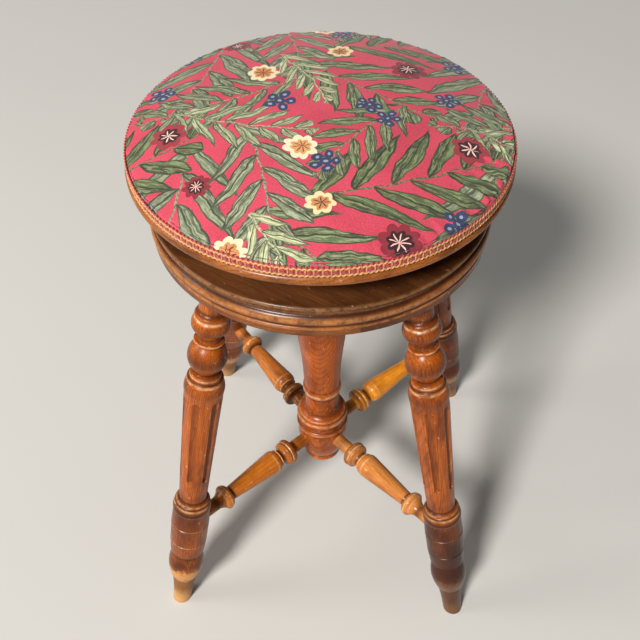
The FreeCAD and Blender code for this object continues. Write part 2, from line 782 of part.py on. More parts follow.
# Iron nut plate let into the platform, with a long bush down the column's bore. Its hole
# carries the screw's thread on the crests.
nut_bore_radius = size("thread_radius") + running_gap
nut_outline = [
    line(nut_bore_radius, bush_bottom),
    line(bush_radius, bush_bottom),
    line(bush_radius, platform_top - size("nut_flange_thickness")),
    line(size("nut_flange_radius"), platform_top - size("nut_flange_thickness")),
    line(size("nut_flange_radius"), platform_top),
    line(nut_bore_radius, platform_top),
]
head_height = size("wood_screw_head_height")


def countersunk(name, circle, top, length, angles, pointing_up):
    """Wood screws on a circle: a shank, and a conical head flush with the face at top."""
    screws = []
    sinks = []
    for index, angle in enumerate(angles):
        spot = around(angle) * FreeCAD.Vector(circle.value, 0, 0)
        flip = turn((1, 0, 0), 0 if pointing_up else 180)
        spot.z = top.value
        for extra, kept, label in ((0, screws, ""), (glue_gap.value, sinks, "_sink")):
            head = doc.addObject("Part::Cone", f"{name}_head{label}_{index + 1}")
            head.Radius1 = size("wood_screw_head_radius").value + extra
            head.setExpression("Radius1", (size("wood_screw_head_radius") + extra).text)
            head.setExpression("Radius2", (size("wood_screw_radius") + extra).text)
            head.setExpression("Height", head_height.text)
            head.Placement = FreeCAD.Placement(spot, flip)
            shank = rod(f"{name}_shank{label}_{index + 1}", size("wood_screw_radius") + extra,
                        length + extra, FreeCAD.Placement(spot, flip))
            kept.append(joined(f"{name}{label}_{index + 1}", [head, shank]))
    group = doc.addObject("Part::Compound", name)
    group.Links = screws
    return group, sinks


nodes["nut_plate_screws"], nut_sinks = countersunk(
    "nut_plate_screws", size("nut_screw_circle"), platform_top, nut_screw_reach,
    fixing_angles, False)
nodes["nut_plate"] = cut("nut_plate", turned("nut_plate_turned", nut_outline), nut_sinks)


# Seat board: a turned round of wood with a thin rounded rim under the fabric.
board_top = board_bottom + size("seat_board_thickness")
board_side = size("seat_board_side_radius")
rim_root = board_side + size("seat_rim_ledge")
rim_top = board_bottom + size("seat_rim_height")
board_outline = [
    line(zero, board_bottom),
    line(rim_root - 2, board_bottom),
    arc(rim_root + size("seat_rim_bulge"), board_bottom + size("seat_rim_height") * 0.48,
        rim_root, rim_top),
    line(board_side, rim_top),
    line(board_side, board_top - 1.5),
    line(board_side - 1.5, board_top),
    line(zero, board_top),
]
seat_board = turned("seat_board_turned", board_outline)

tack_count = driving_dimensions["tack_count"]
tack_angles = [360 * index / tack_count for index in range(tack_count)]
cover_side = board_side + soft_gap
cover_outside = cover_side + size("cover_thickness")
tack_station = rim_top + size("tack_height")


def spokes(name, radius, length, start, station):
    """Level rods pointing outwards, one for each tack."""
    rods = []
    for index, angle in enumerate(tack_angles):
        rotation = around(angle) * turn((0, 1, 0), 90)
        spot = rotation * FreeCAD.Vector(0, 0, start.value)
        spot.z = station.value
        rods.append(rod(f"{name}_{index + 1}", radius, length, FreeCAD.Placement(spot, rotation)))
    return rods


shank_start = cover_outside + glue_gap - size("tack_shank_length")
tack_holes = spokes("tack_hole", size("tack_shank_radius") + glue_gap,
                    size("tack_shank_length") * 1.4, shank_start - glue_gap, tack_station)
shanks = spokes("tack_shank", size("tack_shank_radius"),
                size("tack_shank_length") + size("tack_head_thickness"), shank_start, tack_station)
heads = spokes("tack_head", size("tack_head_radius"), size("tack_head_thickness"),
               cover_outside + glue_gap, tack_station)
tacks = doc.addObject("Part::Compound", "cover_tacks")
tacks.Links = [joined(f"tack_{index + 1}", list(pair))
               for index, pair in enumerate(zip(shanks, heads))]
nodes["cover_tacks"] = tacks

seat_screw_holes = ring_of_rods("seat_screw_hole", fixing_angles, size("flange_screw_circle"),
                                screw_hole_radius, size("wood_screw_length") + glue_gap,
                                board_bottom)
nodes["seat_board"] = cut("seat_board", seat_board, [*seat_screw_holes, *tack_holes])


# Upholstery: a domed pad of stuffing and a fabric cover that rolls over its edge, is tacked
# to the side of the board and is finished with a glued braid.
side_bottom = rim_top + soft_gap
flare_start = board_top + size("cover_turn_rise")
flare_end = flare_start + size("cover_flare_height")
roll_end = flare_end + size("cover_roll_height")
flare = size("cover_flare")
cover_edge = cover_outside + flare
roll_reach = cover_edge - size("cover_roll_width")
crown_top = side_bottom + size("crown_height")


def dome(inset):
    """The cushion's section from its side up to the middle, drawn in by inset all round."""
    side = cover_outside - inset
    edge = cover_edge - inset
    rise = roll_end - inset - flare_end
    return [
        line(side, flare_start + inset * 0.4),
        arc(side + flare * 0.72, flare_start + inset * 0.4 + size("cover_flare_height") * 0.2,
            edge, flare_end),
        arc(edge - (edge - roll_reach) * 0.25, flare_end + rise * 0.6,
            roll_reach, roll_end - inset),
        crown(zero, crown_top - inset),
    ]


def dome_inside(inset):
    """The same section run from the middle down to the side."""
    side, edge, reach, middle = dome(inset)
    return [
        line(middle[0], middle[1]),
        crown(reach[0], reach[1]),
        arc(reach[2], reach[3], edge[0], edge[1]),
        arc(edge[2], edge[3], side[0], side[1]),
    ]


cover_outline = [
    line(cover_outside, side_bottom),
    *dome(zero),
    *dome_inside(size("cover_thickness")),
    line(cover_side, side_bottom),
]
nodes["seat_cover"] = cut("seat_cover", turned("seat_cover_sewn", cover_outline), tack_holes)

stuffing_inset = size("cover_thickness") + soft_gap
stuffing_outline = [
    line(zero, board_top + soft_gap),
    line(cover_outside - stuffing_inset, board_top + soft_gap),
    *dome(stuffing_inset),
]
nodes["seat_stuffing"] = turned("seat_stuffing", stuffing_outline)

braid_inside = cover_outside + size("tack_head_thickness") + soft_gap
braid_outside = braid_inside + size("braid_thickness")
braid_top = flare_start - size("braid_top_gap")
braid_outline = [
    line(braid_inside, side_bottom),
    line(braid_outside, side_bottom),
    arc(braid_outside + 0.3, (side_bottom + braid_top) / 2, braid_outside, braid_top),
    line(braid_inside + 0.2, braid_top),
]
nodes["gimp_braid"] = turned("gimp_braid", braid_outline)


# Iron flange under the seat: a disc and boss with a hole for the screw's plain top end.
flange_bore = size("thread_radius") + glue_gap
flange_outline = [
    line(flange_bore, boss_bottom),
    line(size("seat_boss_radius"), boss_bottom),
    line(size("seat_boss_radius") + 1, flange_bottom),
    line(size("seat_flange_radius"), flange_bottom),
    line(size("seat_flange_radius"), board_bottom - 1.5),
    line(size("seat_flange_radius") - 1.5, board_bottom),
    line(flange_bore, board_bottom),
]
boss_pin_height = boss_bottom + size("boss_pin_radius") + 0.6
boss_pin_length = size("seat_boss_radius") * 2 - 2


def cross_rod(name, radius, length, height):
    """A level pin through the screw's axis, lying along X."""
    return rod(name, radius, length,
               place((length * -0.5).value, 0, height.value, turn((0, 1, 0), 90)))


boss_pin_hole = cross_rod("boss_pin_hole", size("boss_pin_radius") + glue_gap,
                          size("seat_boss_radius") * 3, boss_pin_height)
nodes["seat_screw_pin"] = cross_rod("seat_screw_pin", size("boss_pin_radius"),
                                    boss_pin_length, boss_pin_height)
flange_screw_reach = size("wood_screw_length") + size("seat_flange_thickness")
nodes["seat_flange_screws"], flange_sinks = countersunk(
    "seat_flange_screws", size("flange_screw_circle"), flange_bottom, flange_screw_reach - glue_gap,
    fixing_angles, True)
nodes["seat_flange"] = cut("seat_flange", turned("seat_flange_turned", flange_outline),
                           [boss_pin_hole, *flange_sinks])


# Screw: a plain top end pinned in the flange, and a trapezoidal right-hand thread below it.
thread_top = boss_bottom - size("screw_plain_length") / 2
core_radius = size("thread_radius") - size("thread_depth")
core_outline = [
    line(zero, screw_bottom),
    line(core_radius - 1.5, screw_bottom),
    line(core_radius, screw_bottom + 1.5),
    line(core_radius, thread_top),
    line(size("thread_radius"), thread_top + size("thread_depth")),
    line(size("thread_radius"), board_bottom),
    line(zero, board_bottom),
]
core = turned("seat_screw_core", core_outline)


def thread_ridge():
    """The thread: a trapezium swept along a helix, its root sunk into the core."""
    pitch = size("thread_pitch").value
    root = core_radius.value - 0.4
    crest = size("thread_radius").value
    bottom = screw_bottom.value + pitch * 0.75
    height = thread_top.value - bottom
    helix = Part.makeHelix(pitch, height, root)
    helix.translate(FreeCAD.Vector(0, 0, bottom))
    half_root = size("thread_root_width").value / 2
    half_flat = size("thread_flat").value / 2
    corners = [
        FreeCAD.Vector(root, 0, bottom - half_root),
        FreeCAD.Vector(crest, 0, bottom - half_flat),
        FreeCAD.Vector(crest, 0, bottom + half_flat),
        FreeCAD.Vector(root, 0, bottom + half_root),
    ]
    profile = Part.makePolygon(corners + corners[:1])
    ridge = doc.addObject("Part::Feature", "seat_screw_ridge")
    ridge.Shape = Part.Wire(helix.Edges).makePipeShell([profile], True, True)
    return ridge


threaded = doc.addObject("Part::Fuse", "seat_screw_threaded")
threaded.Base = core
threaded.Tool = thread_ridge()
stop_pin_height = screw_bottom + size("stop_pin_rise")
stop_pin_hole = cross_rod("stop_pin_hole", size("stop_pin_radius") + glue_gap,
                          size("thread_radius") * 3, stop_pin_height)
nodes["seat_screw"] = cut("seat_screw", threaded, [boss_pin_hole, stop_pin_hole])

# Stop at the screw's lower end: a pin, and a loose washer that meets the bush from below
# before the screw can leave it.
washer_radius = bush_radius - size("stop_washer_side_gap")
stop_pin_length = (washer_radius - size("stop_pin_inset")) * 2
nodes["stop_pin"] = cross_rod("stop_pin", size("stop_pin_radius"), stop_pin_length, stop_pin_height)
washer_bottom = stop_pin_height + size("stop_pin_radius") + bearing_gap
washer_top = washer_bottom + size("stop_washer_thickness")
washer_outline = [
    line(nut_bore_radius, washer_bottom),
    line(washer_radius, washer_bottom),
    line(washer_radius, washer_top),
    line(nut_bore_radius, washer_top),
]
nodes["stop_washer"] = turned("stop_washer", washer_outline)

doc.recompute()

for item in doc.Objects:
    if "Invalid" in item.State or "Error" in item.State:
        raise RuntimeError(f"{item.Label} failed: {item.State}")
for name, item in nodes.items():
    item.Label = name
    if item.Shape.isNull() or not item.Shape.isValid():
        raise RuntimeError(f"{name} has no valid shape")

os.makedirs("parts", exist_ok=True)
for name, item in nodes.items():
    item.Shape.exportStep(f"parts/{name}.step")
    box = item.Shape.optimalBoundingBox(False)
    print(f"{name:24s} solids {len(item.Shape.Solids):2d}  volume {item.Shape.Volume:10.0f}  "
          f"z {box.ZMin:7.1f} to {box.ZMax:7.1f}")
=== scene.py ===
import math

import bpy
import numpy as np
from mathutils import Matrix, Vector


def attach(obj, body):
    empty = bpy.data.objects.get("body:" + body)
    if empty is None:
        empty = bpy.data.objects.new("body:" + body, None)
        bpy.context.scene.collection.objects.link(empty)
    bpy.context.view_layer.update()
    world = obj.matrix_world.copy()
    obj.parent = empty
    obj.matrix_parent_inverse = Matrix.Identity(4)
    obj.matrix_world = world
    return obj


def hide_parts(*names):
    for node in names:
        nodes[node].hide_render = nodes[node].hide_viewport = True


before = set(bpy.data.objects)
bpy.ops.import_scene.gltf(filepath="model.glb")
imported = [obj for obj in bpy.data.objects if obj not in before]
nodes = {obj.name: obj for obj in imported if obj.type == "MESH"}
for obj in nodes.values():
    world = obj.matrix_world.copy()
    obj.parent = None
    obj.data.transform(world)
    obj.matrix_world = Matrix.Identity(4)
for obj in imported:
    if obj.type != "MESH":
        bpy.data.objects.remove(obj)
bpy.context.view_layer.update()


# Legs: four hardwood legs, turned and fluted, stained and varnished a dark red-brown. Each
# stands splayed, with its top tenon glued into the platform. The rings' edges are rubbed pale,
# the hollows and flutes are darker with dirt and painted shade, and shoes and floors wore the
# feet bare.
def srgb(code):
    """The linear colour of an sRGB hex code, with full alpha: each part is divided by 12.92 up to
    0.04045, and above it raised as ((part + 0.055) / 1.055) ^ 2.4."""
    parts = [int(code[i:i + 2], 16) / 255 for i in (1, 3, 5)]
    linear = [p / 12.92 if p <= 0.04045 else ((p + 0.055) / 1.055) ** 2.4 for p in parts]
    return (*linear, 1.0)


class Value:
    """An output of a material's node, so that formulas can be written plainly."""

    def __init__(self, tree, socket):
        self.tree = tree
        self.socket = socket

    def math(self, operation, *others):
        return add(self.tree, "Math", dict(enumerate((self, *others))), operation=operation)

    def __add__(self, other):
        return self.math("ADD", other)

    def __sub__(self, other):
        return self.math("SUBTRACT", other)

    def __mul__(self, other):
        return self.math("MULTIPLY", other)

    def __truediv__(self, other):
        return self.math("DIVIDE", other)

    def __pow__(self, other):
        return self.math("POWER", other)

    def clamped(self):
        return self.math("MAXIMUM", 0.0).math("MINIMUM", 1.0)

    def between(self, low, high):
        """0 at low, 1 at high, and 3 t^2 - 2 t^3 at the share t of the way between them."""
        return add(self.tree, "MapRange", {0: self, 1: low, 2: high},
                   interpolation_type="SMOOTHSTEP")


def add(tree, kind, inputs=None, output=0, **options):
    """Adds one node with its options, fills or links its inputs, and gives back the output that
    is asked for, or a list of them."""
    made = tree.nodes.new(kind if kind.startswith("Node") else "ShaderNode" + kind)
    for name, value in options.items():
        setattr(made, name, value)
    for key, value in (inputs or {}).items():
        if isinstance(value, Value):
            tree.links.new(value.socket, made.inputs[key])
        else:
            made.inputs[key].default_value = value
    if isinstance(output, tuple):
        return [Value(tree, made.outputs[key]) for key in output]
    return Value(tree, made.outputs[output]) if len(made.outputs) else None


def new_material(name):
    """A material with no nodes yet, and its node tree."""
    material = bpy.data.materials.new(name)
    material.use_nodes = True
    material.node_tree.nodes.clear()
    return material, material.node_tree


def painted(tree, colour, layers, blend="MIX"):
    """The colour with layers of (share, tone) laid over it in turn: each turns the colour so far
    into colour * (1 - share) + tone * share. A tone is a hex code or a node's output."""
    for share, tone in layers:
        tone = srgb(tone) if isinstance(tone, str) else tone
        colour = add(tree, "Mix", {0: share, 6: colour, 7: tone}, output=2, data_type="RGBA",
                     blend_type=blend)
    return colour


def wood(name, dark, middle, light, origin=(0, 0, 0), rotation=(0, 0, 0), ring=2.2,
         ring_depth=0.4, pith=(14.0, 22.0), lean=0.08, bands=(), edge_bands=(), taper=None,
         foot_wear=0.0, low_soil=0.0, waver=9.0, roughness=0.36, rubbed="#dab184", seed=0.0):
    """Varnished wood whose grain runs along a local z axis, worked out in millimetres.

    Growth rings are the fractional part of (distance from the pith + lean * z) / ring, and the
    other marks are noise drawn out along z. Bands are (station along z, half width, share of
    rubbed wear and painted highlight, share of dirt and painted shade), and edge bands say the
    same of heights on the edge of a disc. A taper is (radius at z 0, growth per mm, depth) of a
    fluted shaft, whose hollows are darker with dirt and painted shade. Foot wear is how bare the
    lowest 75 mm are, and low soil how dark the lowest 200 mm.
    """
    material, tree = new_material(name)
    place = add(tree, "TexCoord", output="Object")
    local = add(tree, "Mapping", {"Vector": place, "Location": origin, "Rotation": rotation,
                                  "Scale": (0.001, 0.001, 0.001)}, vector_type="TEXTURE")
    x, y, z = add(tree, "SeparateXYZ", {0: local}, output=(0, 1, 2))
    shifted = add(tree, "VectorMath", {0: local, 1: (seed, seed * 0.7, seed * 0.3)})
    marks = []
    for along_grain, per_mm, detail, harshness in (
            (0.12, 0.035, 2.0, 0.55),  # rings that waver over about 30 mm
            (0.03, 0.9, 4.0, 0.55),    # fibres: 0.3 mm wide, drawn 1 mm wide so that they show
            (0.07, 2.1, 2.0, 0.55),    # open pores half a millimetre wide
            (0.5, 0.03, 3.0, 0.55),    # stain that took unevenly, in patches of 30 mm
            (1.0, 0.16, 4.0, 0.7),     # gaps of 6 mm in what is rubbed or dirty
            (0.6, 0.21, 6.0, 0.72)):   # small pale knocks some 5 mm apart
        where = add(tree, "VectorMath", {0: shifted, 1: (1, 1, along_grain)},
                    operation="MULTIPLY")
        marks.append(add(tree, "TexNoise", {"Vector": where, "Scale": per_mm, "Detail": detail,
                                            "Roughness": harshness}))
    wobble, fibre, pores, mottle, worn, scuffs = marks
    across = ((x - pith[0]) ** 2.0 + (y - pith[1]) ** 2.0).math("SQRT")
    rings = (across + z * lean + wobble * waver + fibre * 0.5) / ring
    late_wood = rings.math("FRACT").between(0.35, 1.0) ** 1.6
    gloss = fibre * 0.12 + mottle * 0.14
    layers = [(fibre.between(0.3, 0.7), light), (late_wood * ring_depth, dark),
              (mottle.between(0.40, 0.66) * 0.75, dark),
              (pores.between(0.57, 0.72) * 0.4, "#2a130a")]
    near_bands = [((z - station).math("ABSOLUTE").between(half, 0.0), rubbed_and_highlight_share, dirt_and_shade_share)
                  for station, half, rubbed_and_highlight_share, dirt_and_shade_share in bands]
    if edge_bands:
        # The moulded edge begins about 3 mm inside the planks' radius of 160.8 mm.
        disc_x, disc_y, height = add(tree, "SeparateXYZ", {0: place}, output=(0, 1, 2))
        height = height * 1000.0
        on_edge = ((disc_x ** 2.0 + disc_y ** 2.0).math("SQRT") * 1000.0).between(157.2, 158.4)
        near_bands += [
            ((height - level).math("ABSOLUTE").between(half, half * 0.3) * on_edge,
             rubbed_and_highlight_share, dirt_and_shade_share) for level, half, rubbed_and_highlight_share, dirt_and_shade_share in edge_bands]
    # Dark bands are dirt and painted shade in necks and grooves; rubbed bands are wear, and on
    # the platform's edge also painted highlight.
    if near_bands:
        rub_and_highlight = dirt_and_shade = None
        for near, rubbed_and_highlight_share, dirt_and_shade_share in near_bands:
            if rubbed_and_highlight_share:
                rub_and_highlight = near * rubbed_and_highlight_share + (rub_and_highlight or 0.0)
            if dirt_and_shade_share:
                dirt_and_shade = near * dirt_and_shade_share + (dirt_and_shade or 0.0)
        rub_and_highlight = (rub_and_highlight * worn.between(0.3, 0.62)).clamped()
        layers += [(dirt_and_shade.clamped(), "#2b1006"), (rub_and_highlight, rubbed)]
        gloss = gloss + rub_and_highlight * 0.2
    layers.append((scuffs.between(0.615, 0.675) * 0.42, rubbed))
    if low_soil:
        low = (z.between(110.0, 230.0) * -1.0 + 1.0) * (mottle * 0.5 + 0.75)
        layers.append(((low * low_soil).clamped(), "#2c1106"))
    if taper:
        # The flutes, which run from 220 to 350 mm up the leg, are darker in their hollows: dirt
        # and painted shade.
        start, growth, depth = taper
        radius = (x ** 2.0 + y ** 2.0).math("SQRT")
        hollow = ((z * growth + start - radius) / depth).between(0.15, 0.9)
        fluted = z.between(215.0, 225.0) * (z.between(348.0, 352.0) * -1.0 + 1.0)
        layers.append((hollow * fluted * 0.45, "#3f1b0c"))
    if foot_wear:
        cone = z.between(44.0, 58.0) * -1.0 + 1.0
        patch = (z - 62.0 + (worn - 0.5) * 36.0).math("ABSOLUTE").between(15.0, 5.0)
        tip = (z + (worn - 0.5) * 24.0).between(10.0, 34.0) * -1.0 + 1.0
        layers += [(cone * foot_wear * 0.8, "#7d5329"), (patch * foot_wear, "#c08443"),
                   (tip * foot_wear * 0.9, "#c3935a")]
        gloss = gloss + cone * foot_wear * 0.3
    # A thin, hand-worn varnish: it gives a soft wide shine on the balls and rings, duller where
    # it is rubbed through.
    normal = add(tree, "Bump", {"Height": pores * 0.6 + fibre * 0.4 + worn * 0.6,
                                "Strength": 0.4, "Distance": 0.0005})
    shader = add(tree, "BsdfPrincipled", {
        "Base Color": painted(tree, srgb(middle), layers), "Roughness": gloss + roughness - 0.17,
        "Specular IOR Level": 0.1, "Coat Weight": 0.3, "Coat Roughness": 0.24,
        "Normal": normal})
    add(tree, "OutputMaterial", {"Surface": shader})
    return material


def dress(name, material):
    """Gives a CAD node its material."""
    mesh = nodes[name].data
    mesh.materials.clear()
    mesh.materials.append(material)


foot_circle, foot_below = 0.2385, 0.004
splay_run, splay_height = 0.1075, 0.470
splay = math.atan2(splay_run, splay_height)
# Bands: (station, half width, rubbed share, share of dirt and painted shade); the dark bands in
# the necks and grooves are painted shade as well as dirt.
leg_bands = [
    (84.0, 14.0, 0.0, 0.45), (96.0, 4.0, 0.0, 0.7), (99.6, 1.6, 0.45, 0.0),
    (120.4, 1.3, 0.5, 0.0), (149.7, 1.3, 0.4, 0.0), (168.0, 16.0, 0.0, 0.35),
    (176.5, 5.0, 0.0, 0.7), (182.6, 2.4, 0.95, 0.0), (185.4, 1.2, 0.0, 0.8),
    (187.6, 1.6, 0.7, 0.0), (191.5, 3.0, 0.0, 0.7), (198.0, 9.0, 0.0, 0.25),
    (356.5, 9.0, 0.0, 0.25), (366.6, 2.6, 1.0, 0.0), (370.0, 1.2, 0.0, 0.8),
    (372.4, 2.2, 0.9, 0.0), (378.0, 3.4, 0.0, 0.85), (396.5, 14.0, 0.0, 0.6),
    (413.6, 1.6, 0.0, 0.85), (416.0, 1.3, 0.6, 0.0), (421.0, 4.5, 0.0, 0.65),
    (433.0, 9.0, 0.0, 0.45), (444.4, 2.6, 1.0, 0.0), (452.0, 5.0, 0.0, 0.75),
]
for corner, bearing, twist, foot_wear, low_soil, seed in (
        ("front_left", 228.5, 30.0, 0.95, 0.25, 3.0),
        ("front_right", -44.0, 10.0, 0.15, 0.95, 41.0),
        ("back_left", 131.5, 22.0, 0.7, 0.2, 77.0),
        ("back_right", 44.0, -14.0, 0.4, 0.5, 120.0)):
    outward = Matrix.Rotation(math.radians(bearing), 3, "Z")
    turned = (outward @ Matrix.Rotation(-splay, 3, "Y")
              @ Matrix.Rotation(math.radians(twist), 3, "Z"))
    start = outward @ Vector((foot_circle, 0, 0)) - turned @ Vector((0, 0, foot_below))
    dress(f"leg_{corner}", wood(
        f"dark_varnished_wood_leg_{corner}", "#451806", "#8a3f0f", "#b05c1a",
        origin=start, rotation=turned.to_euler(), bands=leg_bands, ring_depth=0.36,
        taper=(9.7, 0.0294, 2.7), foot_wear=foot_wear, low_soil=low_soil, seed=seed))


# Column: one turned post of red-brown varnished wood, bored down its middle for the seat's
# screw, with the stretchers' tenons glued into its hub. Its front shows growth rings in nested
# arches, since its pith lies behind it, and the bead at its waist is rubbed.
dress("column", wood(
    "red_brown_varnished_wood_column", "#672806", "#9c470e", "#b25a16", ring=1.7,
    ring_depth=0.55, pith=(4.0, 34.0), lean=0.10, waver=1.2, seed=12.0,
    # The dark bands in the column's grooves and necks are dirt and painted shade.
    bands=[(80.5, 2.0, 0.35, 0.0), (86.5, 2.5, 0.0, 0.7), (112.0, 24.0, 0.0, 0.25),
           (137.0, 2.0, 0.0, 0.7), (141.0, 2.4, 0.45, 0.0), (145.4, 2.0, 0.0, 0.7),
           (152.0, 5.0, 0.0, 0.35), (158.0, 2.5, 0.4, 0.0), (161.0, 1.2, 0.0, 0.8),
           (164.0, 1.6, 0.25, 0.0), (170.0, 6.0, 0.0, 0.5), (197.5, 2.5, 0.0, 0.6),
           (205.0, 4.5, 0.65, 0.0), (212.0, 2.0, 0.0, 0.6)]))


# Stretchers: four turned rods of lighter, honey-coloured varnished wood, glued at one end into
# the column's hub and at the other into a leg. Each has its grain along its own length, and
# took the stain a little differently; the back right one's brighter honey is painted light.
stretcher_height, stretcher_run, stretcher_rise = 0.122, 0.2076, 0.013
slope = math.atan2(stretcher_rise, stretcher_run)
for corner, bearing, seed, dark, middle, light in (
        ("front_left", 228.5, 5.0, "#6d320c", "#a85a18", "#bd7022"),
        ("front_right", -44.0, 60.0, "#85441a", "#b26b2f", "#c48245"),
        ("back_left", 131.5, 95.0, "#6b3111", "#a15a21", "#b36b2c"),
        # Painted light: these brighter colours make the back right stretcher look lit.
        ("back_right", 44.0, 150.0, "#95520e", "#d27f1c", "#e2952a")):
    turned = (Matrix.Rotation(math.radians(bearing), 3, "Z")
              @ Matrix.Rotation(math.radians(90) - slope, 3, "Y"))
    dress(f"stretcher_{corner}", wood(
        f"honey_varnished_wood_stretcher_{corner}", dark, middle, light, ring=4.0,
        ring_depth=0.25, origin=(0, 0, stretcher_height), rotation=turned.to_euler(),
        seed=seed, lean=0.03, rubbed="#e3b98a",
        # The dark bands in the grooves and where the rod meets the hub and the leg are dirt and
        # painted shade.
        bands=[(40.0, 14.0, 0.0, 0.5), (55.0, 2.5, 0.0, 0.6), (60.0, 9.0, 0.0, 0.45),
               (62.0, 1.6, 0.7, 0.0), (71.0, 4.5, 0.0, 0.8), (75.5, 1.4, 0.5, 0.0),
               (84.0, 2.0, 0.35, 0.0), (149.5, 3.5, 0.0, 0.8), (156.4, 1.8, 0.6, 0.0),
               (161.5, 1.4, 0.4, 0.0), (172.0, 9.0, 0.0, 0.7)]))


# Platform: a round top board glued across three planks, with the moulding turned through their
# edge. Its brown varnish is rubbed to pale bands on the mouldings, partly painted highlight, and
# its grooves and lower edge are darker with dirt and painted shade. The top board is darker as
# painted shadow of the seat above it. Edge bands are heights above the floor in millimetres.
platform_edge_wear_and_light = [
    (470.6, 1.6, 0.0, 0.85), (474.5, 3.6, 0.0, 0.3), (478.6, 1.1, 0.45, 0.0),
    (481.2, 1.5, 0.0, 0.8), (483.6, 1.0, 0.5, 0.0), (488.5, 3.6, 0.42, 0.0),
    (493.0, 1.3, 0.0, 0.75), (496.6, 2.8, 0.6, 0.0), (499.0, 0.9, 0.0, 0.75),
    (502.0, 2.6, 0.28, 0.0),
]
for name, angle, seed, dark, middle, light in (
        # The top board's darker colours are painted shadow of the seat.
        ("platform_top", 62.0, 7.0, "#2c160a", "#4f2d17", "#633b1f"),
        ("platform_plank_left", 0.0, 33.0, "#45200a", "#7f4519", "#935624"),
        ("platform_plank_middle", 0.0, 52.0, "#45200a", "#7f4519", "#935624"),
        ("platform_plank_right", 0.0, 88.0, "#401d0a", "#763e17", "#8b4f21")):
    turned = (Matrix.Rotation(math.radians(angle), 3, "Z")
              @ Matrix.Rotation(math.radians(90), 3, "X"))
    dress(name, wood(
        f"brown_varnished_wood_{name}", dark, middle, light, ring=5.0, ring_depth=0.3,
        pith=(35.0, -260.0), lean=0.01, seed=seed, rotation=turned.to_euler(),
        edge_bands=platform_edge_wear_and_light, roughness=0.42, rubbed="#c48b55"))


# Seat board: a round board of brown varnished wood, screwed to the iron flange below. Its thin
# rounded rim shows under the braid, and its grain runs straight across it.
turned = Matrix.Rotation(math.radians(35), 3, "Z") @ Matrix.Rotation(math.radians(90), 3, "X")
dress("seat_board", wood(
    "brown_varnished_wood_seat_board", "#4c240e", "#824719", "#9b5e2a", ring=3.0,
    ring_depth=0.4, pith=(-30.0, 280.0), lean=0.01, rotation=turned.to_euler(), seed=19.0,
    roughness=0.4))


# Ironwork: the screw, nut plate and flange are black oiled iron with some rust, and the pins
# and the loose washer are of the same. Screws and the nail are dull steel, and the tacks are
# blued.
def iron(name, base, rust, metallic, roughness):
    """Metal with a mottled oxide skin, which breaks up its shine: patches of rust about 15 mm
    across show where coarse noise is over a half, and 1 mm grit roughens it."""
    material, tree = new_material(name)
    place = add(tree, "TexCoord", output="Object")
    coarse = add(tree, "TexNoise", {"Vector": place, "Scale": 60.0, "Detail": 5.0,
                                    "Roughness": 0.55})
    grit = add(tree, "TexNoise", {"Vector": place, "Scale": 900.0, "Detail": 3.0,
                                  "Roughness": 0.55})
    normal = add(tree, "Bump", {"Height": grit + coarse, "Strength": 0.3, "Distance": 0.0002})
    shader = add(tree, "BsdfPrincipled", {
        "Base Color": painted(tree, srgb(base), [(coarse.between(0.5, 0.75) * 0.6, rust)]),
        "Roughness": coarse * 0.3 + roughness, "Metallic": metallic, "Normal": normal})
    add(tree, "OutputMaterial", {"Surface": shader})
    return material


black_iron = iron("black_oiled_iron", "#2b2926", "#4a3122", 0.85, 0.35)
dull_steel = iron("dull_steel", "#8a857c", "#5b4a3c", 0.95, 0.32)
blued_steel = iron("blued_steel", "#33353b", "#40342c", 0.95, 0.3)
for name in ("nut_plate", "seat_flange", "seat_screw", "seat_screw_pin", "stop_pin",
             "stop_washer"):
    dress(name, black_iron)
for name in ("nut_plate_screws", "seat_flange_screws", "edge_brad"):
    dress(name, dull_steel)
dress("cover_tacks", blued_steel)


# Printed cotton: the seat's plain-woven cover, with a made-up all-over pattern of leafy sprigs,
# daisies and berries on pink-red, as if block-printed. Lengths are millimetres on the flat
# cloth, and each motif repeats with the same cell in both directions.
cell = (262.0, 228.0, 1.0)


def motif_group(name, sizes, outputs):
    """A node group that places one motif. It gives back the cloth's position along and across
    the motif: less the centre, wrapped into one cell and turned about the centre."""
    group = bpy.data.node_groups.new(name, "ShaderNodeTree")
    for socket, kind in (("Cloth", "NodeSocketVector"), ("Centre", "NodeSocketVector"),
                         ("Turn", "NodeSocketFloat"),
                         *((size, "NodeSocketFloat") for size in sizes)):
        group.interface.new_socket(socket, in_out="INPUT", socket_type=kind)
    for socket in outputs:
        group.interface.new_socket(socket, in_out="OUTPUT", socket_type="NodeSocketFloat")
    cloth, centre, turn, *given = add(group, "NodeGroupInput",
                                      output=("Cloth", "Centre", "Turn", *sizes))
    away = add(group, "VectorMath", {0: cloth, 1: centre}, operation="SUBTRACT")
    high = (cell[0] / 2, cell[1] / 2, cell[2] / 2)
    low = (-cell[0] / 2, -cell[1] / 2, -cell[2] / 2)
    wrapped = add(group, "VectorMath", {0: away, 1: high, 2: low}, operation="WRAP")
    turned = add(group, "VectorRotate", {"Vector": wrapped, "Angle": turn},
                 rotation_type="Z_AXIS")
    along, across = add(group, "SeparateXYZ", {0: turned}, output=(0, 1))
    return group, along, across, given


